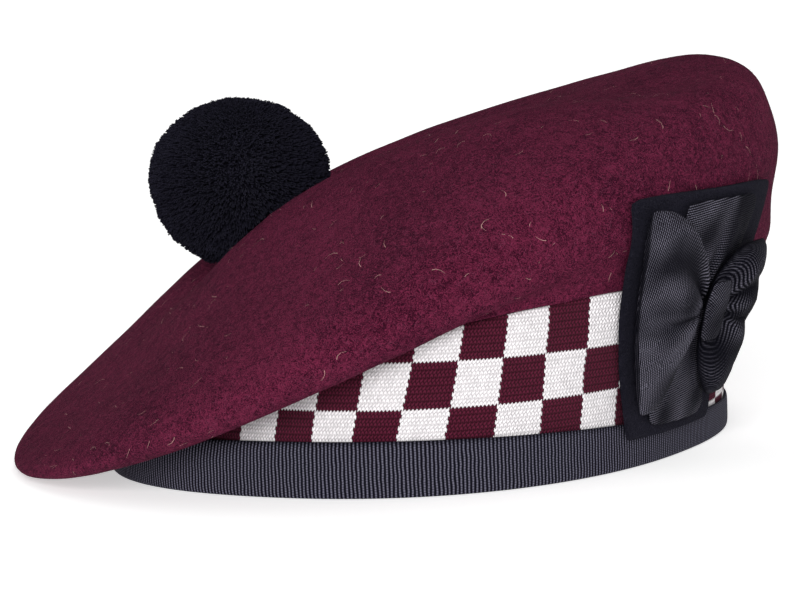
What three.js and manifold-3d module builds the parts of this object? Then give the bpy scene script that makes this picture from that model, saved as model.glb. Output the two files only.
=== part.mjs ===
// A Balmoral bonnet: a soft felted wool crown, pulled down over one side of a knitted headband with
// three rows of dicing. The band's lower edge is bound in ribbon, a ribbon cockade is sewn to its
// side, and a wool toorie sits on the crown.
// Millimetres, +Z up, -Y the wearer's front, +X the wearer's left. The bonnet stands on its rim.
import * as THREE from 'three';
import { mergeVertices } from 'three/addons/utils/BufferGeometryUtils.js';
import Module from 'manifold-3d';

const wasm = await Module();
wasm.setup();

const degree = Math.PI / 180;
const fullTurn = 2 * Math.PI;

// ---------------------------------------------------------------- driving dimensions, mm

const head = { halfWidth: 83, halfLength: 98, squareness: 2.3 }; // the oval inside the band
const band = { thickness: 2.6, bottom: 1.35 };
const binding = { thickness: 1.0, insideHeight: 11 };
const felt = { thickness: 2.6 };
const clearance = 0.35; // between pieces that touch
const columns = { round: 60, small: 16 }; // faces round the bonnet, and round a small piece

const pullTurn = 208; // degrees from +X to where the crown is pulled lowest
const cockadeTurn = -9.5; // degrees from +X to the middle of the cockade

// The cockade's pieces lie one over the other. floor is how far out from the backing's own inside
// each one starts, and spans are the half lengths of the hollows that the ribbon goes straight over.
const cockade = {
  bottom: 8.5, top: 79, border: 3, thickness: 1.2, lift: 0.9, curve: 98, spans: [5, 10],
  front: { side: -1, top: 34.5, taper: 9.2 }, // how wide it is at its top, and how much less at its foot
  rear: { side: 1, top: 31.2, taper: 2.5 },
};
const strip = { width: 34, thickness: 1.2, floor: 1.9 };
// A wing of the bow starts near the knot, gathered to its pinch, and is fully open at openShare of
// its reach. Both give how far it goes up and down from the bow's middle.
const wing = { start: 3, thickness: 1.6, floor: 3.8, fullness: 0.6 };
const wings = {
  front: {
    edge: cockade.front, pinch: { up: 10, down: 11 }, open: { up: 32, down: 28 }, openShare: 0.85, puff: 1.8,
  },
  rear: {
    edge: cockade.rear, pinch: { up: 9, down: 11 }, open: { up: 18, down: 27 }, openShare: 0.5, puff: 2.6,
  },
};
const knot = { width: 11, height: 17, thickness: 3, floor: 8.2, narrowing: 0.3, flattening: 0.5 };
const toorie = {
  pulled: 53, brow: -10, height: 82, // the middle of the ball
  radius: 28.2, coreRadius: 24.5, detail: 3, unevenness: 0.35,
};

// The band stands up straight but slumps inwards where the crown pulls it down. lean is how far its
// top edge moves in, and a negative lean flares out. swing turns the heights towards the brow.
const bandSides = {
  swing: 20,
  height: { pulled: 27, brow: 51, raised: 52, nape: 41 },
  lean: { pulled: 22, brow: 0, raised: -14, nape: 6 },
  leanGrowth: 1.2,
  bindingHeight: { pulled: 13, brow: 16, raised: 9.5, nape: 13 },
};

// The crown's skin runs through these sections, from the hem round the rolled edge to the middle.
// Each gives how far out the skin is and how high it is on four sides: where it is pulled down, at
// the brow, where it is raised and at the nape. swing turns the whole section towards the brow.
// crownRoot comes first: how far out of the hem the skin goes, and how far up.
const crownRoot = {
  out: { pulled: 5, brow: 1, raised: 0.5, nape: 3 },
  up: { pulled: -7, brow: 3, raised: 7, nape: 3 },
};
const crownSections = [
  { name: 'under', swing: 28, pulled: [105, 9], brow: [105, 61], raised: [107.5, 69], nape: [101, 40] },
  { name: 'lower_edge', swing: 32, pulled: [119, 3], brow: [108, 67], raised: [111.5, 81], nape: [106, 36] },
  { name: 'edge', swing: 31, pulled: [127, 4.5], brow: [108, 77], raised: [109, 94], nape: [110, 40] },
  { name: 'upper_edge', swing: 27, pulled: [120, 10], brow: [101, 88], raised: [105, 105], nape: [107, 50] },
  { name: 'crest', swing: 24, pulled: [104, 19], brow: [81, 97], raised: [94, 112], nape: [96, 64] },
  { name: 'shoulder', swing: 22, pulled: [86, 32], brow: [57, 98], raised: [66, 106], nape: [76, 74] },
  { name: 'dish', swing: 0, pulled: [68, 48], brow: [20, 80], raised: [2, 84], nape: [40, 67] },
];
const crownMiddle = { pulled: 44, brow: -8, height: 58 }; // where the toorie is sewn

// Dents in the crown. turn is in degrees from the pulled side, and along counts the sections from
// the hem. Each spreads that far both ways, and is deepest, in mm, in its middle.
const crownDents = [
  { name: 'side_hollow', turn: 156, along: 6.4, turnSpread: 27, alongSpread: 1.2, depth: 14 },
];

// ---------------------------------------------------------------- shared geometry

// How far the inside of the band is from the middle of the head, in the direction of angle.
function headReach(angle) {
  const across = Math.abs(Math.cos(angle) / head.halfWidth) ** head.squareness;
  const along = Math.abs(Math.sin(angle) / head.halfLength) ** head.squareness;
  return (across + along) ** (-1 / head.squareness);
}

function polar(angle, reach, height) {
  return new THREE.Vector3(reach * Math.cos(angle), reach * Math.sin(angle), height);
}

// A closed geometry from rows of points that each go once round. The rows close on each other, or
// end in single points.
function skinOf(rows, { closed }) {
  const position = rows.flat().flatMap((point) => point.toArray());
  const starts = [];
  rows.reduce((start, row) => (starts.push(start), start + row.length), 0);
  const around = Math.max(...rows.map((row) => row.length));
  const at = (row, column) => starts[row] + (rows[row].length === 1 ? 0 : column % around);
  const index = [];
  const last = closed ? rows.length : rows.length - 1;
  for (let row = 0; row < last; row++) {
    const next = (row + 1) % rows.length;
    for (let column = 0; column < around; column++) {
      const [a, b] = [at(row, column), at(row, column + 1)];
      const [c, d] = [at(next, column), at(next, column + 1)];
      if (a !== b) index.push(a, b, d);
      if (c !== d) index.push(a, d, c);
    }
  }
  const geometry = new THREE.BufferGeometry();
  geometry.setAttribute('position', new THREE.Float32BufferAttribute(position, 3));
  geometry.setIndex(enclosedVolume(rows.flat(), index) > 0 ? index : index.reverse());
  return geometry;
}

// The volume inside the triangles, which is negative when they face inwards.
function enclosedVolume(points, index) {
  let volume = 0;
  for (let i = 0; i < index.length; i += 3) {
    const [a, b, c] = index.slice(i, i + 3).map((corner) => points[corner]);
    volume += a.dot(new THREE.Vector3().crossVectors(b, c)) / 6;
  }
  return volume;
}

function evenly(count, start, end) {
  return Array.from({ length: count }, (_, i) => start + ((end - start) * i) / (count - 1));
}

function anglesAround(count) {
  return Array.from({ length: count }, (_, i) => (fullTurn * i) / count);
}

// A uniform Catmull-Rom spline: t counts the points from the second one, and the first and last
// points only steer it.
function spline(points, t) {
  const span = Math.min(Math.floor(t), points.length - 4);
  const [a, b, c, d] = points.slice(span, span + 4);
  const s = t - span;
  const blend = (key) =>
    0.5 *
    (2 * b[key] +
      (c[key] - a[key]) * s +
      (2 * a[key] - 5 * b[key] + 4 * c[key] - d[key]) * s * s +
      (3 * b[key] - a[key] - 3 * c[key] + d[key]) * s * s * s);
  return new THREE.Vector3(blend('x'), blend('y'), blend('z'));
}

function toSolid(geometry) {
  const merged = mergeVertices(geometry, 1e-3);
  return new wasm.Manifold(
    new wasm.Mesh({
      numProp: 3,
      vertProperties: merged.attributes.position.array,
      triVerts: new Uint32Array(merged.index.array),
    }),
  );
}

function toGeometry(solid) {
  const mesh = solid.getMesh();
  const geometry = new THREE.BufferGeometry();
  geometry.setAttribute('position', new THREE.BufferAttribute(mesh.vertProperties, 3));
  geometry.setIndex(new THREE.BufferAttribute(mesh.triVerts, 1));
  return geometry;
}

function piece(name, geometry, color, roughness) {
  geometry.computeVertexNormals();
  const mesh = new THREE.Mesh(geometry, new THREE.MeshStandardMaterial({ color, roughness }));
  mesh.name = name;
  return mesh;
}

// A value that is given on four sides, at a turn from the pulled side.
function fourSided({ pulled, brow, raised, nape }, turn) {
  return (
    (pulled + brow + raised + nape) / 4 +
    ((pulled - raised) / 2) * Math.cos(turn) +
    ((brow - nape) / 2) * Math.sin(turn) +
    ((pulled + raised - brow - nape) / 4) * Math.cos(2 * turn)
  );
}

// ---------------------------------------------------------------- the headband and its binding

// A ring round the head with the cross-section that sectionAt(turn) gives, as [offset, height].
// It leans with the band.
function ringRoundHead(sectionAt) {
  const turns = anglesAround(columns.round);
  const corners = sectionAt(0).length;
  const rows = Array.from({ length: corners }, (_, corner) =>
    turns.map((turn) => {
      const [offset, height] = sectionAt(turn)[corner];
      const angle = turn + pullTurn * degree;
      return polar(angle, headReach(angle) + offset - leanAt(turn, height), height);
    }),
  );
  return skinOf(rows, { closed: true });
}

function bandTop(turn) {
  return fourSided(bandSides.height, turn - bandSides.swing * degree);
}

// The lean starts above the binding and grows to the band's top edge.
function leanAt(turn, height) {
  const start = binding.insideHeight;
  const share = Math.max(height - start, 0) / (bandTop(turn) - start);
  return fourSided(bandSides.lean, turn) * share ** bandSides.leanGrowth;
}

const bandLevels = 6; // above the binding

function makeBand() {
  return ringRoundHead((turn) => {
    const levels = [band.bottom, ...evenly(bandLevels, binding.insideHeight, bandTop(turn))];
    const inside = levels.map((height) => [0, height]);
    const outside = levels.map((height) => [band.thickness, height]).reverse();
    return [...inside, ...outside];
  });
}

// The ribbon is folded under the band's lower edge.
function makeBinding() {
  const innerFace = -clearance;
  const outerFace = band.thickness + clearance;
  const skin = binding.thickness;
  const corner = skin * 0.5;
  return ringRoundHead((turn) => {
    const top = fourSided(bandSides.bindingHeight, turn);
    const knee = top > binding.insideHeight ? binding.insideHeight : top * 0.75;
    return [
      ...[corner, knee, top].map((height) => [outerFace + skin, height]),
      ...[top, knee, skin].map((height) => [outerFace, height]),
      ...[skin, binding.insideHeight].map((height) => [innerFace, height]),
      ...[binding.insideHeight, corner].map((height) => [innerFace - skin, height]),
      [innerFace - corner, 0],
      [outerFace + corner, 0],
    ];
  });
}

// ---------------------------------------------------------------- the crown

// The crown's own directions: along the pull, and square to it towards the brow.
function fromPull(alongPull, towardsBrow, height, swing = 0) {
  const pull = (pullTurn + swing) * degree;
  return new THREE.Vector3(
    alongPull * Math.cos(pull) - towardsBrow * Math.sin(pull),
    alongPull * Math.sin(pull) + towardsBrow * Math.cos(pull),
    height,
  );
}

function sectionPoint({ swing, pulled, brow, raised, nape }, turn) {
  const own = turn - swing * degree;
  const heights = { pulled: pulled[1], brow: brow[1], raised: raised[1], nape: nape[1] };
  const alongPull = (pulled[0] - raised[0]) / 2 + ((pulled[0] + raised[0]) / 2) * Math.cos(own);
  const towardsBrow = (brow[0] - nape[0]) / 2 + ((brow[0] + nape[0]) / 2) * Math.sin(own);
  return fromPull(alongPull, towardsBrow, fourSided(heights, own), swing);
}

// A point on the outside of the band, or out from it, at a height below or above its top edge.
function bandSkin(turn, height, out = 0) {
  const angle = turn + pullTurn * degree;
  return polar(angle, headReach(angle) + band.thickness - leanAt(turn, height) + out, height);
}

// The points that steer the skin at one turn, from the hem to the middle. The hem stands on the
// band's top edge and leaves it in the direction that the band has over hemRun.
const hemRun = 6;

function crownGuides(turn) {
  const top = bandTop(turn);
  const hem = bandSkin(turn, top + clearance);
  const leaving = hem.clone().sub(bandSkin(turn, top - hemRun));
  const own = turn - bandSides.swing * degree;
  const root = bandSkin(turn, top + fourSided(crownRoot.up, own), fourSided(crownRoot.out, own));
  const across = [root, ...crownSections.map((section) => sectionPoint(section, turn))];
  const middle = fromPull(crownMiddle.pulled, crownMiddle.brow, crownMiddle.height);
  const beyond = sectionPoint(crownSections.at(-1), turn + Math.PI);
  const before = across[0].clone().addScaledVector(leaving, -2);
  return [before, hem, ...across, middle, beyond];
}

const crownLength = crownSections.length + 2; // in spans between sections

function undentedPoint(turn, along) {
  return spline(crownGuides(turn), along);
}

// The outward normal of a surface that pointAt(turn, along) gives.
function normalOf(pointAt, turn, along) {
  const step = 0.01;
  const near = Math.min(along, crownLength - step);
  const inward = pointAt(turn, near + step).sub(pointAt(turn, Math.max(near - step, 0)));
  const around = pointAt(turn + step, near).sub(pointAt(turn - step, near));
  return around.cross(inward).normalize();
}

function dentAt(turn, along) {
  return crownDents.reduce((depth, dent) => {
    const away = Math.abs((turn / degree - dent.turn + 540) % 360) - 180;
    const spread = (away / dent.turnSpread) ** 2 + ((along - dent.along) / dent.alongSpread) ** 2;
    return depth + dent.depth * Math.exp(-spread);
  }, 0);
}

function crownPoint(turn, along) {
  const dent = dentAt(turn, along);
  const point = undentedPoint(turn, along);
  return dent < 0.01 ? point : point.addScaledVector(normalOf(undentedPoint, turn, along), -dent);
}

function crownNormal(turn, along) {
  return normalOf(crownPoint, turn, along);
}

// The crown's rows of points, from the hem to the ring before the middle, moved out by offset. The
// hem's own thickness is level, so that it fits on the band.
function crownRows(offset) {
  const turns = anglesAround(columns.round);
  return crownLevels.map((along) =>
    turns.map((turn) => {
      const level = polar(turn + pullTurn * degree, 1, 0);
      const outwards = level.lerp(crownNormal(turn, along), Math.min(along, 1)).normalize();
      return crownPoint(turn, along).addScaledVector(outwards, offset);
    }),
  );
}

function crownCentre(offset) {
  const rim = anglesAround(8).map((turn) => crownNormal(turn, crownLength));
  const normal = rim.reduce((sum, each) => sum.add(each), new THREE.Vector3()).normalize();
  return crownPoint(0, crownLength).addScaledVector(normal, offset);
}

const crownLevels = evenly(2 * crownLength + 1, 0, crownLength).slice(0, -1);

function makeCrown() {
  const outside = crownRows(0);
  const inside = crownRows(-felt.thickness).reverse();
  return skinOf(
    [[crownCentre(-felt.thickness)], ...inside, ...outside, [crownCentre(0)]],
    { closed: false },
  );
}

// ---------------------------------------------------------------- the cockade

// How far out the bonnet's own outside is at an angle and a height, on the side of the cockade.
function outsideReach(angle, height) {
  const turn = angle - pullTurn * degree + fullTurn;
  const bindingTop = fourSided(bandSides.bindingHeight, turn);
  const onBand = bandSkin(turn, height);
  const bindingSkin = height < bindingTop + 1 ? binding.thickness + clearance : 0;
  if (height <= bandTop(turn)) return Math.hypot(onBand.x, onBand.y) + bindingSkin;
  const along = evenly(40, 0, 5).find((each) => crownPoint(turn, each).z >= height) ?? 5;
  const point = crownPoint(turn, along);
  return Math.hypot(point.x, point.y);
}

// The cockade follows the bonnet's outside, and goes straight over what is smaller than its spans.
function layReach(angle, height) {
  const over = (span) =>
    (outsideReach(angle, height - span) + outsideReach(angle, height + span)) / 2;
  return Math.max(outsideReach(angle, height), ...cockade.spans.map(over));
}

// A point of the cockade: across towards the nape and up from its middle, and out from the bonnet.
function cockadePoint(across, up, out) {
  const angle = cockadeTurn * degree + across / cockade.curve;
  const height = (cockade.bottom + cockade.top) / 2 + up;
  return polar(angle, layReach(angle, height) + cockade.lift + out, height);
}

const cockadeHalf = (cockade.top - cockade.bottom) / 2;
const stripHalf = cockadeHalf - cockade.border;
const stripLevels = evenly(13, -stripHalf, stripHalf);

// How far the backing reaches at a level, to the front or to the rear.
function cockadeEdge({ top, taper }, up) {
  return top - taper * ((cockadeHalf - up) / (2 * cockadeHalf)) ** 2;
}

// A flat ribbon piece that lies between two distances out. acrossAt(share, up) goes from its front
// edge, at share -1, to its rear edge, at 1.
function ribbonPlate({ levels, acrossAt, count, from, to }) {
  const shares = evenly(count, -1, 1);
  const ring = (up) => {
    const line = (out) => shares.map((share) => cockadePoint(acrossAt(share, up), up, out));
    return [...line(to), ...line(from).reverse()];
  };
  const cap = (up) => [cockadePoint(0, up, (from + to) / 2)];
  return skinOf([cap(levels[0]), ...levels.map(ring), cap(levels.at(-1))], { closed: false });
}

function makeBacking() {
  return ribbonPlate({
    levels: [-cockadeHalf, ...stripLevels, cockadeHalf],
    acrossAt: (share, up) => share * cockadeEdge(share < 0 ? cockade.front : cockade.rear, up),
    count: 9,
    from: 0,
    to: cockade.thickness,
  });
}

function makeStrip() {
  return ribbonPlate({
    levels: stripLevels,
    acrossAt: (share) => (share * strip.width) / 2,
    count: 5,
    from: strip.floor,
    to: strip.floor + strip.thickness,
  });
}

// One wing of the bow: a loop of ribbon, gathered at the knot and opening to its outer edge.
function makeWing({ edge, pinch, open, openShare, puff }) {
  const at = (share, up, out) => {
    const across = THREE.MathUtils.lerp(wing.start, cockadeEdge(edge, up) - cockade.border, share);
    return cockadePoint(edge.side * across, up, wing.floor + out);
  };
  const ring = (share) => {
    const opened = THREE.MathUtils.smoothstep(share, -openShare, openShare) * 2 - 1;
    const [above, below] = ['up', 'down'].map((way) =>
      THREE.MathUtils.lerp(pinch[way], open[way], opened),
    );
    const swell = wing.thickness + 2 * puff * Math.sin(Math.PI * share);
    return anglesAround(columns.small).map((angle) => {
      const sine = Math.sin(angle);
      const up = (sine > 0 ? above : -below) * Math.abs(sine) ** wing.fullness;
      const front = Math.max(Math.cos(angle), 0) * swell;
      return at(share, up, (wing.thickness / 2) * (1 + Math.cos(angle)) + front);
    });
  };
  const cap = (share) => [at(share, 0, wing.thickness / 2)];
  return skinOf([cap(0), ...evenly(12, 0, 1).map(ring), cap(1)], { closed: false });
}

function makeKnot() {
  const rings = evenly(5, -1, 1).map((share) =>
    anglesAround(columns.small).map((angle) => {
      const halfWidth = (knot.width / 2) * Math.sqrt(1 - knot.narrowing * share ** 2);
      const swell = Math.sin(angle) * Math.sqrt(1 - knot.flattening * share ** 2);
      const out = knot.floor + (knot.thickness / 2) * (1 + swell);
      return cockadePoint(halfWidth * Math.cos(angle), (share * knot.height) / 2, out);
    }),
  );
  const cap = (share) => [cockadePoint(0, (share * knot.height) / 2, knot.floor + knot.thickness / 2)];
  return skinOf([cap(-1), ...rings, cap(1)], { closed: false });
}

// ---------------------------------------------------------------- the toorie

// A ball with a lock of wool standing out of every face. Its foot is cut to the crown it sits on.
function makeToorie() {
  const faces = new THREE.IcosahedronGeometry(toorie.coreRadius, toorie.detail).attributes.position;
  const corner = (i) => new THREE.Vector3().fromBufferAttribute(faces, i);
  const position = [];
  for (let i = 0; i < faces.count; i += 3) {
    const [a, b, c] = [corner(i), corner(i + 1), corner(i + 2)];
    const tip = new THREE.Vector3().add(a).add(b).add(c);
    tip.setLength(toorie.radius - toorie.unevenness * (i % 4));
    position.push(...[a, b, tip, b, c, tip, c, a, tip].flatMap((point) => point.toArray()));
  }
  const ball = new THREE.BufferGeometry();
  ball.setAttribute('position', new THREE.Float32BufferAttribute(position, 3));
  const centre = fromPull(toorie.pulled, toorie.brow, toorie.height);
  const foot = new THREE.Vector3(0, 0, bandSides.height.pulled);
  const seat = [[foot], ...crownRows(clearance), [crownCentre(clearance)]];
  return toGeometry(
    toSolid(ball).translate(centre.toArray()).subtract(toSolid(skinOf(seat, { closed: false }))),
  );
}

// ---------------------------------------------------------------- the assembly

const bonnet = new THREE.Group();
bonnet.add(
  piece('crown', makeCrown(), '#5a1730', 1),
  piece('diced_band', makeBand(), '#ece6e8', 0.95),
  piece('ribbon_binding', makeBinding(), '#17171f', 0.8),
  piece('cockade_backing', makeBacking(), '#101016', 0.85),
  piece('cockade_strip', makeStrip(), '#17171f', 0.8),
  piece('cockade_bow_front', makeWing(wings.front), '#17171f', 0.8),
  piece('cockade_bow_rear', makeWing(wings.rear), '#17171f', 0.8),
  piece('cockade_knot', makeKnot(), '#17171f', 0.8),
  piece('toorie', makeToorie(), '#121218', 1),
);

// The origin is under the middle of the bonnet's box, on the surface it rests on.
const box = new THREE.Box3().setFromObject(bonnet);
const middle = box.getCenter(new THREE.Vector3()).setZ(box.min.z);
bonnet.children.forEach((mesh) => mesh.geometry.translate(-middle.x, -middle.y, -middle.z));

export default bonnet;
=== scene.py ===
# Looks for the Balmoral bonnet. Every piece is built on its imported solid, in metres.
# The wearer's front is -Y, the wearer's left is +X, and the bonnet rests on z = 0.
import math
import random

import bmesh
import bpy
import numpy as np
from mathutils import Matrix, Vector, noise
from mathutils.bvhtree import BVHTree


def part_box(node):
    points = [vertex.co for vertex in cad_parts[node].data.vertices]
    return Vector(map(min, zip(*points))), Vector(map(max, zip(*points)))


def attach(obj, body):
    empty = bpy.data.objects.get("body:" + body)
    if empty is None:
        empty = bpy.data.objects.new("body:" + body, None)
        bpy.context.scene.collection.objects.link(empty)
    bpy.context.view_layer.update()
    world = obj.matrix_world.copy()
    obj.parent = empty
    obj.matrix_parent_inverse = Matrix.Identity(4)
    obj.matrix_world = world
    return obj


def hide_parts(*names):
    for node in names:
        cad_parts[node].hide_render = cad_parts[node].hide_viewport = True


mm = 0.001

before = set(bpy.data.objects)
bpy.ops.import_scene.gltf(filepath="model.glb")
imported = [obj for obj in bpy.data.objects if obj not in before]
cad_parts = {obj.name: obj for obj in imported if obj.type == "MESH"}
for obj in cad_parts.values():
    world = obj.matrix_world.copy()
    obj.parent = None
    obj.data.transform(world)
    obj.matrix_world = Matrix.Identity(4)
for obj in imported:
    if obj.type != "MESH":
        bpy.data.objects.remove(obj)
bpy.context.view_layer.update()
rimLow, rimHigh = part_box("ribbon_binding")
headCentre = Vector(((rimLow.x + rimHigh.x) / 2, (rimLow.y + rimHigh.y) / 2, 0))
print("the frame is loaded")


# Small helpers for meshes

def coordsOf(mesh):
    coords = np.zeros(len(mesh.vertices) * 3)
    mesh.vertices.foreach_get("co", coords)
    return coords.reshape(-1, 3)


def normalsOf(mesh):
    normals = np.zeros(len(mesh.vertices) * 3)
    mesh.vertices.foreach_get("normal", normals)
    return normals.reshape(-1, 3)


def setCoords(mesh, coords):
    mesh.vertices.foreach_set("co", coords.ravel())
    mesh.update()


def newObject(name, data):
    thing = bpy.data.objects.new(name, data)
    bpy.context.scene.collection.objects.link(thing)
    return thing


# A new object from points and faces.
def meshPiece(name, points, faces):
    mesh = bpy.data.meshes.new(name)
    mesh.from_pydata([tuple(point) for point in points], [], faces)
    mesh.update()
    return newObject(name, mesh)


# A copy of a solid's mesh, welded, turned into quads and rounded by subdivision.
def roundedCopy(node, name, rounds):
    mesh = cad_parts[node].data.copy()
    work = bmesh.new()
    work.from_mesh(mesh)
    bmesh.ops.remove_doubles(work, verts=work.verts, dist=0.001 * mm)
    bmesh.ops.join_triangles(
        work,
        faces=work.faces,
        angle_face_threshold=math.radians(50),
        angle_shape_threshold=math.radians(140),
        topology_influence=1.5,
    )
    work.to_mesh(mesh)
    work.free()
    mesh.materials.clear()
    piece = newObject(name, mesh)
    rounding = piece.modifiers.new("rounding", "SUBSURF")
    rounding.levels = rounding.render_levels = rounds
    ready = piece.evaluated_get(bpy.context.evaluated_depsgraph_get())
    fine = bpy.data.meshes.new_from_object(ready)
    piece.modifiers.clear()
    piece.data = fine
    fine.shade_smooth()
    return piece


# A finished piece takes its material and its slot, and may stand for a solid.
def finishPiece(piece, material, node=None):
    piece.data.materials.append(material)
    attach(piece, "root")
    if node:
        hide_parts(node)


def surfaceOf(piece):
    return BVHTree.FromObject(piece, bpy.context.evaluated_depsgraph_get())


def distancesTo(surface, coords):
    return np.array([surface.find_nearest(Vector(point))[3] for point in coords])


# For each point, the level way out from the head's middle and how far out it is.
def waysOut(coords):
    ways = coords - np.array(headCentre)
    ways[:, 2] = 0
    reach = np.linalg.norm(ways, axis=1)[:, None]
    return ways / reach, reach


# Writes a vector for every face corner, as the woven and knitted finishes read it.
def writePlace(mesh, name, cornerValues):
    layer = mesh.attributes.new(name, "FLOAT_VECTOR", "CORNER")
    layer.data.foreach_set("vector", np.asarray(cornerValues, np.float32).ravel())


def cornerVertices(mesh):
    index = np.zeros(len(mesh.loops), np.int32)
    mesh.loops.foreach_get("vertex_index", index)
    return index


def cornerFaces(mesh):
    sizes = np.zeros(len(mesh.polygons), np.int32)
    mesh.polygons.foreach_get("loop_total", sizes)
    return np.repeat(np.arange(len(sizes)), sizes), sizes


# Smooth noise for many points at once.
def noiseAt(coords, size, seed):
    shift = Vector((seed * 7.1, seed * 3.3, seed * 5.7))
    return np.array([noise.noise(Vector(point) / size + shift) for point in coords])


# Small helpers for materials

# Links a value that varies to an input, or sets the input to a plain value.
def plug(tree, value, socket):
    if isinstance(value, bpy.types.NodeSocket):
        tree.links.new(value, socket)
    else:
        socket.default_value = value


def addNode(tree, kind, settings=None, **inputs):
    node = tree.nodes.new(kind)
    for key, value in (settings or {}).items():
        setattr(node, key, value)
    for key, value in inputs.items():
        plug(tree, value, node.inputs[key])
    return node


def calc(tree, operation, *values):
    node = tree.nodes.new("ShaderNodeMath")
    node.operation = operation
    for socket, value in zip(node.inputs, values):
        plug(tree, value, socket)
    return node.outputs[0]


def mixColours(tree, factor, first, second):
    node = addNode(tree, "ShaderNodeMix", {"data_type": "RGBA"}, Factor=factor)
    plug(tree, first, node.inputs[6])  # sockets 6 and 7 in and 2 out are the ones for colours
    plug(tree, second, node.inputs[7])
    return node.outputs[2]


def newGroup(name, takes, gives):
    group = bpy.data.node_groups.new(name, "ShaderNodeTree")
    for socketName, kind, default in takes:
        socket = group.interface.new_socket(socketName, in_out="INPUT", socket_type=kind)
        socket.default_value = default
    for socketName, kind in gives:
        group.interface.new_socket(socketName, in_out="OUTPUT", socket_type=kind)
    entry = group.nodes.new("NodeGroupInput")
    leave = group.nodes.new("NodeGroupOutput")
    return group, entry, leave


def newMaterial(name, **shaderValues):
    material = bpy.data.materials.new(name)
    material.use_nodes = True
    tree = material.node_tree
    shader = tree.nodes["Principled BSDF"]
    for key, value in shaderValues.items():
        shader.inputs[key.replace("_", " ")].default_value = value
    return material, tree, shader


def feed(tree, shader, colour, height, strength, distance):
    tree.links.new(colour, shader.inputs["Base Color"])
    bump = addNode(tree, "ShaderNodeBump", Height=height, Strength=strength, Distance=distance)
    tree.links.new(bump.outputs[0], shader.inputs["Normal"])


# Wool: soft clouds of tone, a mottle of matted fibre and a fine grain.
woolLayers = {
    "clouds": {"detail": 2.0, "distortion": 0.4, "weight": 0.35},
    "mottle": {"detail": 3.0, "distortion": 1.2, "weight": 0.6},
    "grain": {"detail": 3.0, "distortion": 2.4, "weight": 2.4},
}


def makeWoolGroup():
    group, entry, leave = newGroup(
        "matted wool",
        [
            ("Deep", "NodeSocketColor", (0.1, 0.01, 0.03, 1)),
            ("Light", "NodeSocketColor", (0.2, 0.03, 0.06, 1)),
            ("Contrast", "NodeSocketFloat", 1.0),
            ("Cloud Size", "NodeSocketFloat", 45 * mm),
            ("Mottle Size", "NodeSocketFloat", 4 * mm),
            ("Grain Size", "NodeSocketFloat", 0.75 * mm),
        ],
        [("Color", "NodeSocketColor"), ("Height", "NodeSocketFloat")],
    )
    place = group.nodes.new("ShaderNodeTexCoord").outputs["Object"]

    def layer(sizeName, detail, distortion, weight):
        scale = calc(group, "DIVIDE", 1.0, entry.outputs[sizeName])
        texture = addNode(
            group, "ShaderNodeTexNoise", Vector=place, Scale=scale, Detail=detail, Distortion=distortion
        )
        return calc(group, "MULTIPLY", calc(group, "SUBTRACT", texture.outputs[0], 0.5), weight)

    clouds = layer("Cloud Size", **woolLayers["clouds"])
    mottle = layer("Mottle Size", **woolLayers["mottle"])
    grain = layer("Grain Size", **woolLayers["grain"])
    rough = calc(group, "ADD", grain, mottle)
    tone = calc(group, "ADD", clouds, rough)
    spread = calc(group, "MULTIPLY_ADD", tone, entry.outputs["Contrast"], 0.5)
    held = addNode(group, "ShaderNodeClamp", Value=spread)
    colour = mixColours(group, held.outputs[0], entry.outputs["Deep"], entry.outputs["Light"])
    group.links.new(colour, leave.inputs["Color"])
    group.links.new(rough, leave.inputs["Height"])
    return group


# Grosgrain: rounded ribs across the ribbon, each a row of small threads, with a painted shine in the
# Rib colour on their crests and painted shade between the threads, over the dark Groove colour.
# It reads weavePlace, whose X runs along the ribbon, whose Y runs across it and whose Z is how much
# painted shine the ribs get there.
grosgrainLook = {
    "waver": 0.5 * mm,  # how far the ribs stray, and the scale of it
    "waverScale": 260.0,
    "sharpness": 5.0,  # of the light on a rib
    "threadFloor": 0.25,  # how light it stays between two threads
    "threadHeight": 0.25,
    "speckleScale": 1900.0,
    "speckle": 1.4,
    "speckleFloor": 0.35,
}


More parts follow.
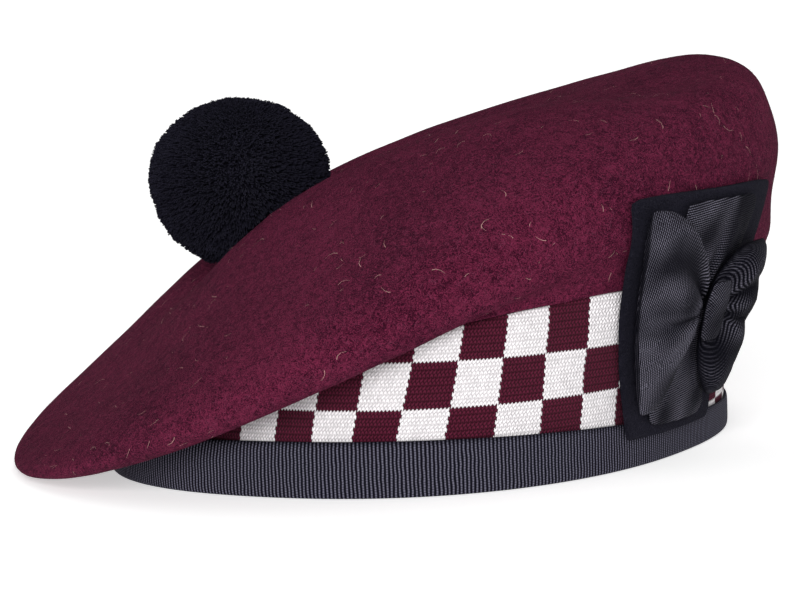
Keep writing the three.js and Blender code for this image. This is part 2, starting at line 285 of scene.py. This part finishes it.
def makeGrosgrainGroup():
    group, entry, leave = newGroup(
        "grosgrain",
        [
            ("Groove", "NodeSocketColor", (0.004, 0.004, 0.006, 1)),
            ("Rib", "NodeSocketColor", (0.05, 0.05, 0.065, 1)),
            ("Pitch", "NodeSocketFloat", 0.9 * mm),
            ("Thread", "NodeSocketFloat", 0.72 * mm),
        ],
        [("Color", "NodeSocketColor"), ("Height", "NodeSocketFloat")],
    )
    look = grosgrainLook
    place = addNode(group, "ShaderNodeAttribute", {"attribute_name": "weavePlace"}).outputs["Vector"]
    along, across, paintedShine = addNode(group, "ShaderNodeSeparateXYZ", Vector=place).outputs

    def noiseOf(scale, detail):
        return addNode(group, "ShaderNodeTexNoise", Vector=place, Scale=scale, Detail=detail).outputs[0]

    # a row of humps, one for each whole number
    def humps(value):
        return calc(group, "ABSOLUTE", calc(group, "SINE", calc(group, "MULTIPLY", value, math.pi)))

    waved = calc(group, "MULTIPLY_ADD", noiseOf(look["waverScale"], 1.0), look["waver"], along)
    turn = calc(group, "DIVIDE", waved, entry.outputs["Pitch"])
    rib = humps(turn)
    stagger = calc(group, "MULTIPLY", calc(group, "FLOOR", turn), 0.5)
    dots = humps(calc(group, "ADD", calc(group, "DIVIDE", across, entry.outputs["Thread"]), stagger))
    ridge = calc(group, "POWER", rib, look["sharpness"])
    lit = calc(group, "MULTIPLY", ridge, calc(group, "ADD", dots, look["threadFloor"]))
    fleck = noiseOf(look["speckleScale"], 2.0)
    speckle = calc(group, "MULTIPLY_ADD", fleck, look["speckle"], look["speckleFloor"])
    shown = calc(group, "MULTIPLY", calc(group, "MULTIPLY", lit, speckle), paintedShine)
    held = addNode(group, "ShaderNodeClamp", Value=shown)
    colour = mixColours(group, held.outputs[0], entry.outputs["Groove"], entry.outputs["Rib"])
    group.links.new(colour, leave.inputs["Color"])
    group.links.new(calc(group, "MULTIPLY_ADD", dots, look["threadHeight"], rib), leave.inputs["Height"])
    return group


woolGroup = makeWoolGroup()
grosgrainGroup = makeGrosgrainGroup()


def woolMaterial(name, look):
    material, tree, shader = newMaterial(
        name,
        Roughness=1.0,
        Specular_IOR_Level=0.03,
        Sheen_Weight=look["sheen"],
        Sheen_Roughness=0.45,
        Sheen_Tint=look["sheenTint"],
    )
    wool = addNode(
        tree,
        "ShaderNodeGroup",
        {"node_tree": woolGroup},
        Deep=look["deep"],
        Light=look["light"],
        Contrast=look["contrast"],
    )
    for sizeName, size in look.get("sizes", {}).items():
        wool.inputs[sizeName].default_value = size
    feed(tree, shader, wool.outputs["Color"], wool.outputs["Height"], look["bump"], 0.6 * mm)
    return material


# rib is the colour of the painted shine on the ribs' crests.
def ribbonMaterial(name, groove, rib, pitch):
    material, tree, shader = newMaterial(name, Roughness=0.7, Specular_IOR_Level=0.02)
    weave = addNode(
        tree, "ShaderNodeGroup", {"node_tree": grosgrainGroup}, Groove=groove, Rib=rib, Pitch=pitch
    )
    feed(tree, shader, weave.outputs["Color"], weave.outputs["Height"], 0.7, 0.3 * mm)
    return material


# The round of the headband, outside: a squared oval about the head's middle.
bandOval = {
    "halfWidth": 85.6 * mm,
    "halfLength": 100.6 * mm,
    "power": 2.3,
}


# Below 1 inside the oval and above 1 outside it.
def ovalShare(x, y):
    power = bandOval["power"]
    return abs(x / bandOval["halfWidth"]) ** power + abs(y / bandOval["halfLength"]) ** power


# How far round the band each angle is, from +X, and the whole way round.
def arcTable():
    angles = np.linspace(0, 2 * math.pi, 3601)
    reach = ovalShare(np.cos(angles), np.sin(angles)) ** (-1 / bandOval["power"])
    steps = np.hypot(np.diff(reach * np.cos(angles)), np.diff(reach * np.sin(angles)))
    return angles, np.concatenate([[0], np.cumsum(steps)])


arcAngles, arcLengths = arcTable()
bandRound = arcLengths[-1]


def arcAt(coords):
    turns = np.arctan2(coords[:, 1] - headCentre.y, coords[:, 0] - headCentre.x) % (2 * math.pi)
    return np.interp(turns, arcAngles, arcLengths)


# For each face corner, how far round it is and its vertex, without a jump where the round closes.
def cornersRound(mesh):
    vertices = cornerVertices(mesh)
    faces, sizes = cornerFaces(mesh)
    arc = arcAt(coordsOf(mesh))[vertices]
    firsts = arc[np.cumsum(sizes) - sizes][faces]
    return arc + bandRound * np.round((firsts - arc) / bandRound), vertices


# The crown: thick fulled wool.

crownLook = {
    "deep": (0.032, 0.0033, 0.0125, 1),
    "light": (0.168, 0.0195, 0.055, 1),
    "contrast": 2.6,
    "bump": 0.8,
    "sheen": 0.03,
    "sheenTint": (0.8, 0.35, 0.6, 1),
    "waves": [(48 * mm, 0.6 * mm), (15 * mm, 0.16 * mm)],  # size and height of the soft unevenness
    "hemReach": 2.6 * mm,  # how near the band the felt laps over it, how far out and how far down
    "hemOut": 0.9 * mm,
    "hemLap": 1.5 * mm,
}


# The hem's felt laps a little over the band.
def lapHem(crown):
    coords = coordsOf(crown.data)
    away = distancesTo(surfaceOf(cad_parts["diced_band"]), coords)
    near = np.clip((crownLook["hemReach"] - away) / crownLook["hemReach"], 0, 1)[:, None]
    ways, _ = waysOut(coords)
    lap = ways * crownLook["hemOut"] - np.array([0, 0, crownLook["hemLap"]])
    setCoords(crown.data, coords + near * lap)


def makeCrown():
    crown = roundedCopy("crown", "felt_crown", 2)
    coords = coordsOf(crown.data)
    push = sum(height * noiseAt(coords, size, size / mm) for size, height in crownLook["waves"])
    setCoords(crown.data, coords + normalsOf(crown.data) * push[:, None])
    lapHem(crown)
    finishPiece(crown, woolMaterial("maroon felt", crownLook), "crown")
    return crown


# Loose fibres: a short fuzz in the felt's own colour, a few long pale hairs, and the backing's nap.
# Lift is how steeply they leave the cloth, and curl is their bend in radians.
fuzzLook = {
    "count": 24000,
    "length": (0.7 * mm, 2.2 * mm),
    "width": 0.09 * mm,
    "lift": 0.45,
    "curl": 1.1,
    "colour": (0.24, 0.042, 0.1, 1),
}
hairLook = {
    "count": 420,
    "length": (1.0 * mm, 4.6 * mm),
    "width": 0.125 * mm,
    "lift": 0.35,
    "curl": 1.2,
    "colour": (0.8, 0.46, 0.42, 1),
}
napLook = {
    "count": 5000,
    "length": (0.4 * mm, 1.1 * mm),
    "width": 0.08 * mm,
    "lift": 0.8,
    "curl": 1.0,
    "colour": (0.035, 0.033, 0.05, 1),
}
fibreShape = {
    "joints": (0, 0.34, 0.67, 1),  # along its length
    "leastRise": 0.2,
    "droop": 1.5,
    "sink": 0.1 * mm,  # how far the root starts inside the cloth
    "taper": 0.7,
    "shade": 0.5,  # the darkest fibre against the lightest
    "shadeScale": 900.0,
}
spareSpots = 3  # tries for each place that is wanted


# Places spread evenly over a piece's open side, with its normal at each.
def openPlaces(piece, count, seed):
    mesh = piece.data
    mesh.calc_loop_triangles()
    corners = np.zeros(len(mesh.loop_triangles) * 3, np.int32)
    mesh.loop_triangles.foreach_get("vertices", corners)
    corners = coordsOf(mesh)[corners.reshape(-1, 3)]
    crossed = np.cross(corners[:, 1] - corners[:, 0], corners[:, 2] - corners[:, 0])
    areas = np.linalg.norm(crossed, axis=1)
    chance = np.random.default_rng(seed)
    picked = chance.choice(len(areas), count * spareSpots, p=areas / areas.sum())
    shares = chance.dirichlet((1, 1, 1), count * spareSpots)
    spots = (corners[picked] * shares[:, :, None]).sum(1)
    normals = crossed[picked] / areas[picked][:, None]
    surface = surfaceOf(piece)
    kept = []
    for i, (spot, normal) in enumerate(zip(spots, normals)):
        way = Vector(normal)
        if surface.ray_cast(Vector(spot) + way * mm, way)[0] is not None:
            continue
        if way.z < 0:  # a way out through the head opening starts on the inner side
            x, y, _ = spot - normal * spot[2] / normal[2]
            if ovalShare(x - headCentre.x, y - headCentre.y) < 1:
                continue
        kept.append(i)
        if len(kept) == count:
            break
    return spots[kept], normals[kept], chance


def fibreMaterial(name, colour):
    material, tree, shader = newMaterial(name, Roughness=0.8, Specular_IOR_Level=0.2)
    tone = addNode(tree, "ShaderNodeTexNoise", Scale=fibreShape["shadeScale"], Detail=1.0).outputs[0]
    darkest = tuple(fibreShape["shade"] * part for part in colour[:3]) + (1,)
    tree.links.new(mixColours(tree, tone, darkest, colour), shader.inputs["Base Color"])
    return material


# Each fibre is a thin bent blade, which starts just inside the cloth.
def makeFibres(name, grownOn, look, seed):
    spots, normals, chance = openPlaces(grownOn, look["count"], seed)
    count = len(spots)
    sideways = np.cross(normals, chance.normal(size=(count, 3)))
    sideways /= np.linalg.norm(sideways, axis=1)[:, None]
    forwards = np.cross(normals, sideways)
    length = chance.uniform(*look["length"], count)[:, None]
    bend = chance.uniform(-look["curl"], look["curl"], count)[:, None]
    rise = chance.uniform(fibreShape["leastRise"], 1, count)[:, None] * look["lift"]
    rows = []
    for share in fibreShape["joints"]:
        across = np.cos(bend * share) * forwards + np.sin(bend * share) * sideways
        height = length * rise * share * (fibreShape["droop"] - share) - fibreShape["sink"]
        middle = spots + across * length * share + normals * height
        half = np.cross(normals, across) * look["width"] / 2 * (1 - fibreShape["taper"] * share)
        rows += [middle - half, middle + half]
    points = np.stack(rows, 1).reshape(-1, 3)
    faces = [
        (start + step, start + step + 1, start + step + 3, start + step + 2)
        for start in range(0, len(points), len(rows))
        for step in range(0, len(rows) - 2, 2)
    ]
    finishPiece(meshPiece(name, points, faces), fibreMaterial(name, look["colour"]))


# The headband: a fine knit in three rows of dicing.

bandLook = {
    "columns": 44,
    "rowBase": 11.5 * mm,
    "rowHeight": 13 * mm,
    "rows": 3,
    "columnShift": 0.15,  # in squares
    "squeeze": {"middle": 30.5, "spread": 3.5, "shift": -0.6},  # where the band is puckered, in squares
    "leaning": {"middle": 36.0, "spread": 2.6, "slope": -0.25},  # where the columns lean, a row
    "stitches": 12.0,  # to a square, both ways
    "slant": 1.1,  # of a stitch's two legs
    "stagger": 0.35,  # of every other course
    "fullness": 0.6,  # lower is flatter on top
    "unevenness": 0.16,  # from stitch to stitch, above the least
    "least": 0.86,
    "white": (0.97, 0.93, 0.95, 1),
    "maroon": (0.07, 0.0085, 0.022, 1),
    "stitchHighlight": {"white": 0.34, "maroon": 1.34},  # how much painted light a stitch's rounded top gets over the gaps
    "gapShade": {"white": 0.7, "maroon": 0.2},  # how light the yarn stays in the painted shade between stitches
    "pucker": {"start": 17 * mm, "growth": 7 * mm, "height": 1.1 * mm, "size": 15 * mm, "flatness": 1.6},
}


def makeKnitMaterial():
    material, tree, shader = newMaterial(
        "diced knit", Roughness=0.95, Specular_IOR_Level=0.05, Sheen_Weight=0.02, Sheen_Roughness=0.5
    )
    look = bandLook
    stitches = look["stitches"]
    place = addNode(tree, "ShaderNodeAttribute", {"attribute_name": "knitPlace"}).outputs["Vector"]
    column, row, _ = addNode(tree, "ShaderNodeSeparateXYZ", Vector=place).outputs

    def swellOf(value):
        return calc(tree, "SINE", calc(tree, "MULTIPLY", calc(tree, "FRACT", value), math.pi))

    # the square that a whole stitch is in
    def squareOf(stitch):
        return calc(tree, "FLOOR", calc(tree, "DIVIDE", calc(tree, "ADD", stitch, 0.5), stitches))

    # the white yarn's value on white squares and the maroon's on maroon ones
    def byYarn(value):
        return calc(tree, "MULTIPLY_ADD", isMaroon, value["maroon"] - value["white"], value["white"])

    u = calc(tree, "MULTIPLY", column, stitches)
    v = calc(tree, "MULTIPLY", row, stitches)
    legs = calc(tree, "ABSOLUTE", calc(tree, "SUBTRACT", calc(tree, "FRACT", u), 0.5))
    bentV = calc(tree, "MULTIPLY_ADD", legs, look["slant"], v)
    course = calc(tree, "FLOOR", bentV)
    everyOther = calc(tree, "FLOORED_MODULO", course, 2.0)
    shiftedU = calc(tree, "MULTIPLY_ADD", everyOther, look["stagger"], u)
    wale = calc(tree, "FLOOR", shiftedU)
    upward = calc(tree, "MINIMUM", squareOf(course), look["rows"] - 1.0)
    isMaroon = calc(tree, "FLOORED_MODULO", calc(tree, "ADD", squareOf(wale), upward), 2.0)
    bulge = calc(tree, "MULTIPLY", swellOf(shiftedU), swellOf(bentV))
    swell = calc(tree, "POWER", bulge, look["fullness"])
    cell = addNode(tree, "ShaderNodeCombineXYZ", X=wale, Y=course).outputs[0]
    chance = addNode(tree, "ShaderNodeTexWhiteNoise", Vector=cell).outputs[0]
    worn = calc(tree, "MULTIPLY_ADD", chance, look["unevenness"], look["least"])
    # each stitch gets painted light on its rounded top and painted shade in the gaps around it
    stitchShading = calc(tree, "MULTIPLY_ADD", swell, byYarn(look["stitchHighlight"]), byYarn(look["gapShade"]))
    shade = calc(tree, "MULTIPLY", stitchShading, worn)
    yarn = mixColours(tree, isMaroon, look["white"], look["maroon"])
    colour = addNode(tree, "ShaderNodeVectorMath", {"operation": "SCALE"}, Vector=yarn, Scale=shade)
    feed(tree, shader, colour.outputs[0], swell, 0.8, 0.5 * mm)
    return material


# The free part of the band, between the binding and the crown, is a little puckered.
def puckerBand(band):
    pucker = bandLook["pucker"]
    coords = coordsOf(band.data)
    ways, reach = waysOut(coords)
    height = coords[:, 2]
    free = np.clip((height - pucker["start"]) / pucker["growth"], 0, 1)
    free *= np.clip((height.max() - height) / pucker["growth"], 0, 1)
    onBand = ways * np.median(reach)
    onBand[:, 2] = height * pucker["flatness"]
    push = pucker["height"] * free * noiseAt(onBand, pucker["size"], 4)
    setCoords(band.data, coords + ways * push[:, None])


def makeBand():
    band = roundedCopy("diced_band", "knitted_band", 2)
    puckerBand(band)
    arc, vertices = cornersRound(band.data)
    squeeze, leaning = bandLook["squeeze"], bandLook["leaning"]
    column = arc / bandRound * bandLook["columns"] - bandLook["columnShift"]
    away = (column - squeeze["middle"]) / squeeze["spread"]
    column = column + squeeze["shift"] * np.exp(-away ** 2)
    row = (coordsOf(band.data)[vertices, 2] - bandLook["rowBase"]) / bandLook["rowHeight"]
    away = (column - leaning["middle"]) / leaning["spread"]
    column = column + leaning["slope"] * np.exp(-away ** 2) * (row - 1)
    writePlace(band.data, "knitPlace", np.stack([column, row, 0 * row], 1))
    finishPiece(band, makeKnitMaterial(), "diced_band")


# The binding: a ribbon folded under the band, with less of its painted rib shine along its top.

bindingLook = {
    # groove is the ribbon's own near-black, and rib the colour of the painted shine on the ribs' crests
    "groove": (0.0035, 0.0035, 0.007, 1),
    "rib": (0.135, 0.13, 0.175, 1),
    "pitch": 1.12 * mm,
    "dimTopDepth": 1.3 * mm,
    "dimTopShine": 0.25,
    "parts": 60,  # the round is cut into these to find the ribbon's top
}


def makeBinding():
    binding = roundedCopy("ribbon_binding", "rim_ribbon", 2)
    arc, vertices = cornersRound(binding.data)
    coords = coordsOf(binding.data)
    height = coords[:, 2]
    parts = bindingLook["parts"]
    part = (arcAt(coords) / bandRound * parts).astype(int) % parts
    # the painted shine on the ribs fades towards the binding's top
    tops = np.array([height[part == i].max() for i in range(parts)])
    below = (tops[part] - height)[vertices]
    edge = bindingLook["dimTopShine"]
    paintedShine = edge + (1 - edge) * np.clip(below / bindingLook["dimTopDepth"], 0, 1)
    writePlace(binding.data, "weavePlace", np.stack([arc, height[vertices], paintedShine], 1))
    ribs = round(bandRound / bindingLook["pitch"])  # a whole number of ribs goes round
    material = ribbonMaterial(
        "binding grosgrain", bindingLook["groove"], bindingLook["rib"], bandRound / ribs
    )
    finishPiece(binding, material, "ribbon_binding")


# The cockade: a felted backing, an upright ribbon, the bow's two wings and the knot over them.

backingLook = {
    "deep": (0.004, 0.0037, 0.007, 1),
    "light": (0.014, 0.013, 0.021, 1),
    "contrast": 1.2,
    "bump": 0.6,
    "sheen": 0.03,
    "sheenTint": (0.6, 0.6, 0.8, 1),
    "sizes": {"Cloud Size": 20 * mm, "Mottle Size": 1.6 * mm},
}
cockadeLook = {
    # groove is the ribbon's own near-black, and rib the colour of the painted shine on the ribs' crests
    "groove": (0.0025, 0.0025, 0.005, 1),
    "rib": (0.18, 0.172, 0.22, 1),
    "pitch": 0.67 * mm,
    "depth": 0.8,  # of all the folds below
    "grownAt": 9,  # mm out from the knot's middle, where a fold has its full height
    "fadesFrom": 0.4,  # of a piece's reach
    "fadesOver": 0.5,
    "sideOn": 1.6,  # how soon the folds die away round a piece's edge
    "crinkle": 0.22,
    "crinkleSize": 3.2 * mm,
    # the ribs' painted shine: more on fold ridges and less in valleys, in patches, and less round the edges
    "shine": {"level": 0.75, "onFolds": 0.6, "least": 0.08, "most": 1.4},
    "patches": {"size": 9 * mm, "strength": 1.3, "least": 0.25, "most": 1.5},
    "edgeShine": 0.2,
    "shade": {"start": 0.5, "slant": 0.1, "width": 3, "depth": 0.85},  # painted shade of the wing on the strip
}

# The gathers of the bow run out from the knot. turn is in degrees up from straight across, height
# is in mm, and a minus is a valley.
frontFolds = [
    {"turn": 62, "spread": 8, "height": 1.3},
    {"turn": 45, "spread": 9, "height": -1.7},
    {"turn": 24, "spread": 11, "height": 1.0},
    {"turn": 8, "spread": 5, "height": -0.5},
    {"turn": -8, "spread": 5, "height": -1.5},
    {"turn": -25, "spread": 10, "height": 1.2},
    {"turn": -43, "spread": 6, "height": 0.6},
    {"turn": -62, "spread": 9, "height": -1.9},
]
rearFolds = [
    {"turn": 40, "spread": 9, "height": 1.6},
    {"turn": 20, "spread": 6, "height": -1.6},
    {"turn": 2, "spread": 8, "height": 1.3},
    {"turn": -17, "spread": 6, "height": -2.0},
    {"turn": -36, "spread": 9, "height": 1.5},
    {"turn": -58, "spread": 8, "height": -1.2},
]
stripFolds = [
    {"turn": 118, "spread": 9, "height": -0.5},
    {"turn": 84, "spread": 5, "height": -0.9},
    {"turn": 72, "spread": 6, "height": 1.1},
    {"turn": -75, "spread": 5, "height": -0.6},
    {"turn": -105, "spread": 8, "height": 0.5},
]
knotFolds = [
    {"turn": 35, "spread": 14, "height": 0.5},
    {"turn": -20, "spread": 12, "height": -0.8},
    {"turn": 150, "spread": 14, "height": -0.8},
    {"turn": -150, "spread": 14, "height": 0.4},
]

# Reach is how far a piece goes from the knot's middle in mm, and a wing faces -1 towards the brow.
# alongRibs says what the ribs are counted by, and acrossRibs what runs along each rib.
# shine is how much painted shine a piece's ribs get, and shaded gives a piece the wing's painted shade.
cockadePieces = [
    {
        "node": "cockade_strip",
        "name": "ribbon_strip",
        "folds": stripFolds,
        "facing": 1,
        "reach": 34,
        "shine": 0.9,
        "alongRibs": {"up": 1, "across": -0.12, "push": 0.5},
        "acrossRibs": "across",
        "shaded": True,
    },
    {
        "node": "cockade_bow_front",
        "name": "bow_wing_front",
        "folds": frontFolds,
        "facing": -1,
        "reach": 36,
        "shine": 0.8,
        "alongRibs": {"across": -1, "push": 0.9, "depth": -0.9, "upSquared": 0.004},
        "acrossRibs": "up",
        "shaded": False,
    },
    {
        "node": "cockade_bow_rear",
        "name": "bow_wing_rear",
        "folds": rearFolds,
        "facing": 1,
        "reach": 32,
        "shine": 0.3,
        "alongRibs": {"across": 1, "push": 0.9, "depth": -0.9, "upSquared": 0.004},
        "acrossRibs": "up",
        "shaded": False,
    },
    {
        "node": "cockade_knot",
        "name": "bow_knot",
        "folds": knotFolds,
        "facing": 1,
        "reach": 9,
        "shine": 0.5,
        "alongRibs": {"up": 1, "across": 0.9},
        "acrossRibs": "up",
        "shaded": False,
    },
]

knotLow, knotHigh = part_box("cockade_knot")
knotMiddle = (knotLow + knotHigh) / 2
knotArc = arcAt(np.array([knotMiddle]))[0]


# The cockade's own places in mm: across towards the nape and up, from the middle of its knot.
def cockadePlaces(coords):
    arc = arcAt(coords) - knotArc
    arc = arc - bandRound * np.round(arc / bandRound)
    return arc / mm, (coords[:, 2] - knotMiddle.z) / mm


def gathers(folds, across, up, reach):
    turns = np.degrees(np.arctan2(up, across))
    away = np.hypot(across, up)
    push = np.zeros(len(across))
    for fold in folds:
        aside = (turns - fold["turn"] + 180) % 360 - 180
        push += fold["height"] * np.exp(-((aside / fold["spread"]) ** 2))
    grown = np.clip(away / cockadeLook["grownAt"], 0, 1)
    fading = (away - cockadeLook["fadesFrom"] * reach) / (cockadeLook["fadesOver"] * reach)
    return cockadeLook["depth"] * push * grown * (1 - np.clip(fading, 0, 1))


# How much painted shine the ribs get: more on the folds' ridges and less in their valleys, in patches,
# little round the edges, and less on the strip where the wing's painted shade lies.
def paintedShineOf(look, coords, across, up, push, front):
    shine, patches, shade = cockadeLook["shine"], cockadeLook["patches"], cockadeLook["shade"]
    patchy = 1 + patches["strength"] * noiseAt(coords, patches["size"], look["reach"] + 1)
    paintedShine = look["shine"] * np.clip(shine["level"] + shine["onFolds"] * push, shine["least"], shine["most"])
    paintedShine *= np.clip(patchy, patches["least"], patches["most"])
    paintedShine *= np.clip(front * 2 - cockadeLook["edgeShine"], cockadeLook["edgeShine"], 1)
    # the strip gets a painted shade of the wing over its upper part
    if look["shaded"]:
        wingShade = np.clip((across - shade["start"] - shade["slant"] * up) / shade["width"], 0, 1)
        paintedShine *= 1 - shade["depth"] * wingShade * (up > 0)
    return paintedShine


def makeCockadeRibbon(look, material, under):
    piece = roundedCopy(look["node"], look["name"], 3)
    coords = coordsOf(piece.data)
    across, up = cockadePlaces(coords)
    push = gathers(look["folds"], look["facing"] * across, up, look["reach"])
    ways, _ = waysOut(coords)
    front = np.clip((normalsOf(piece.data) * ways).sum(1) * cockadeLook["sideOn"], 0, 1)
    crinkle = cockadeLook["crinkle"] * noiseAt(coords, cockadeLook["crinkleSize"], look["reach"])
    setCoords(piece.data, coords + ways * ((push + crinkle) * front * mm)[:, None])
    measures = {
        "across": across,
        "up": up,
        "push": push,
        "depth": distancesTo(under, coords) / mm,
        "upSquared": up ** 2,
    }
    along = sum(weight * measures[name] for name, weight in look["alongRibs"].items())
    paintedShine = paintedShineOf(look, coords, across, up, push, front)
    places = np.stack([along * mm, measures[look["acrossRibs"]] * mm, paintedShine], 1)
    writePlace(piece.data, "weavePlace", places[cornerVertices(piece.data)])
    finishPiece(piece, material, look["node"])


def makeCockade():
    backing = roundedCopy("cockade_backing", "ribbon_backing", 1)
    finishPiece(backing, woolMaterial("black backing", backingLook), "cockade_backing")
    makeFibres("backing_nap", backing, napLook, 7)
    ribbon = ribbonMaterial(
        "cockade grosgrain", cockadeLook["groove"], cockadeLook["rib"], cockadeLook["pitch"]
    )
    under = surfaceOf(backing)
    for look in cockadePieces:
        makeCockadeRibbon(look, ribbon, under)


# The toorie: a ball of cut wool.

toorieLook = {
    "deep": (0.0015, 0.0013, 0.003, 1),
    "light": (0.02, 0.019, 0.032, 1),
    "contrast": 0.8,
    "bump": 0.2,
    "sheen": 0.04,
    "sheenTint": (0.6, 0.6, 0.85, 1),
    "sizes": {"Cloud Size": 12 * mm, "Mottle Size": 3 * mm},
    "strands": 18000,
    "strandWidth": 0.48 * mm,
    "rootWidth": 0.7,  # of the strand's width
    "lean": 0.05,  # how far a strand strays from straight out
    "trim": 0.3 * mm,  # the shears' way inside the ball's radius
    "locks": [(6.0, 0.6), (15.0, 0.6)],  # scale and strength of the unevenness in the cut
    "lockHeight": 1.3 * mm,
    "rootShare": 0.8,  # of the ball's radius
    "coreShare": 0.9,
    "flattening": 0.13,  # of its height, at the top
    "clearance": 0.3 * mm,  # from the felt
}
goldenTurn = math.pi * (3 - math.sqrt(5))


# A three-sided strand from its root to its tip. It adds the points and the faces.
def addStrand(points, faces, root, tip, way, spin):
    side = way.orthogonal().normalized()
    other = way.cross(side)
    start = len(points)
    for end, width in ((root, toorieLook["rootWidth"]), (tip, 1.0)):
        for k in range(3):
            angle = spin + 2 * math.pi * k / 3
            offset = (side * math.cos(angle) + other * math.sin(angle)) * width
            points.append(end + offset * toorieLook["strandWidth"] / 2)
    for k in range(3):
        n = (k + 1) % 3
        faces.append((start + k, start + n, start + 3 + n, start + 3 + k))
    faces.append((start + 3, start + 4, start + 5))


def makeStrands(middle, radius, felt):
    chance = random.Random(11)
    points, faces = [], []
    count = toorieLook["strands"]
    for i in range(count):
        z = 1 - 2 * (i + 0.5) / count
        flat = math.sqrt(1 - z * z)
        way = Vector((flat * math.cos(goldenTurn * i), flat * math.sin(goldenTurn * i), z))
        lock = sum(noise.noise(way * scale) * strength for scale, strength in toorieLook["locks"])
        lean = Vector([chance.uniform(-1, 1) for _ in range(3)]) * toorieLook["lean"]
        reach = radius - toorieLook["trim"] + toorieLook["lockHeight"] * lock
        tip = middle + (way + lean).normalized() * reach
        tip.z -= toorieLook["flattening"] * max(tip.z - middle.z, 0)
        root = middle + way * radius * toorieLook["rootShare"]
        spot, normal, _, _ = felt.find_nearest(tip)
        if (tip - spot).dot(normal) >= toorieLook["clearance"]:
            addStrand(points, faces, root, tip, way, chance.uniform(0, 2))
    return meshPiece("wool_toorie", points, faces)


def makeToorie(crown):
    low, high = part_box("toorie")
    radius = (high.y - low.y) / 2
    middle = Vector(((low.x + high.x) / 2, (low.y + high.y) / 2, high.z - radius))
    material = woolMaterial("black wool pile", toorieLook)
    toorie = makeStrands(middle, radius, surfaceOf(crown))
    finishPiece(toorie, material, "toorie")
    core = roundedCopy("toorie", "toorie_core", 1)
    centre = np.array(middle)
    setCoords(core.data, centre + (coordsOf(core.data) - centre) * toorieLook["coreShare"])
    finishPiece(core, material)


feltCrown = makeCrown()
makeFibres("crown_fuzz", feltCrown, fuzzLook, 3)
makeFibres("crown_hairs", feltCrown, hairLook, 5)
print("the crown is made")
makeBand()
makeBinding()
print("the band and its binding are made")
makeCockade()
print("the cockade is made")
makeToorie(feltCrown)
print("the toorie is made")


# The camera, the floor and the light. Angles are in degrees.

cameraLook = {
    "azimuth": 28,
    "elevation": 9,
    "roll": 2.4,
    "distance": 1000 * mm,
    "lens": 148.7,
    "sensor": 36,
    "aimRight": -8.5 * mm,
    "aimUp": 43.4 * mm,
    "nearest": 0.01,
    "farthest": 20.0,
}


# The way from the bonnet towards something round it, and up from level.
def wayTowards(azimuth, elevation):
    azimuth, elevation = math.radians(azimuth), math.radians(elevation)
    return Vector((
        math.sin(azimuth) * math.cos(elevation),
        -math.cos(azimuth) * math.cos(elevation),
        math.sin(elevation),
    ))


def makeCamera():
    azimuth = math.radians(cameraLook["azimuth"])
    roll = math.radians(cameraLook["roll"])
    back = wayTowards(cameraLook["azimuth"], cameraLook["elevation"])
    level = Vector((math.cos(azimuth), math.sin(azimuth), 0))
    upright = back.cross(level)
    right = level * math.cos(roll) - upright * math.sin(roll)
    up = level * math.sin(roll) + upright * math.cos(roll)
    eye = headCentre + back * cameraLook["distance"]
    aim = headCentre + right * cameraLook["aimRight"] + up * cameraLook["aimUp"]
    ahead = (aim - eye).normalized()
    right = ahead.cross(up).normalized()
    up = right.cross(ahead)
    data = bpy.data.cameras.new("camera")
    data.lens = cameraLook["lens"]
    data.sensor_width = cameraLook["sensor"]
    data.clip_start = cameraLook["nearest"]
    data.clip_end = cameraLook["farthest"]
    camera = newObject("camera", data)
    camera.matrix_world = Matrix((
        (right.x, up.x, -ahead.x, eye.x),
        (right.y, up.y, -ahead.y, eye.y),
        (right.z, up.z, -ahead.z, eye.z),
        (0, 0, 0, 1),
    ))
    bpy.context.scene.camera = camera


studioLook = {
    "floorSize": 20.0,  # each way from the middle
    "floorColour": (0.93, 0.93, 0.93, 1),
    "floorGlow": 0.5,
    "world": 0.32,
    "key": {"turn": -4, "rise": 18, "strength": 2.45, "softness": 30},  # turn is to the camera's right
    "top": {"turn": 150, "rise": 65, "strength": 0.35, "softness": 60},
}


def makeSun(name, turn, rise, strength, softness):
    data = bpy.data.lights.new(name, "SUN")
    data.energy = strength
    data.angle = math.radians(softness)
    light = newObject(name, data)
    towards = wayTowards(cameraLook["azimuth"] + turn, rise)
    light.rotation_euler = towards.to_track_quat("Z", "Y").to_euler()


def makeStudio():
    size = studioLook["floorSize"]
    corners = [(-size, -size, 0), (size, -size, 0), (size, size, 0), (-size, size, 0)]
    floor = meshPiece("floor", corners, [(0, 1, 2, 3)])
    material, _, _ = newMaterial(
        "pale floor",
        Base_Color=studioLook["floorColour"],
        Roughness=0.9,
        Specular_IOR_Level=0.0,
        Emission_Color=(1, 1, 1, 1),
        Emission_Strength=studioLook["floorGlow"],
    )
    floor.data.materials.append(material)
    world = bpy.data.worlds.new("studio")
    world.use_nodes = True
    background = world.node_tree.nodes["Background"]
    background.inputs["Color"].default_value = (1, 1, 1, 1)
    background.inputs["Strength"].default_value = studioLook["world"]
    bpy.context.scene.world = world
    makeSun("key light", **studioLook["key"])
    makeSun("top light", **studioLook["top"])
    bpy.context.scene.view_settings.view_transform = "Standard"


makeCamera()
makeStudio()
print("the studio is ready")
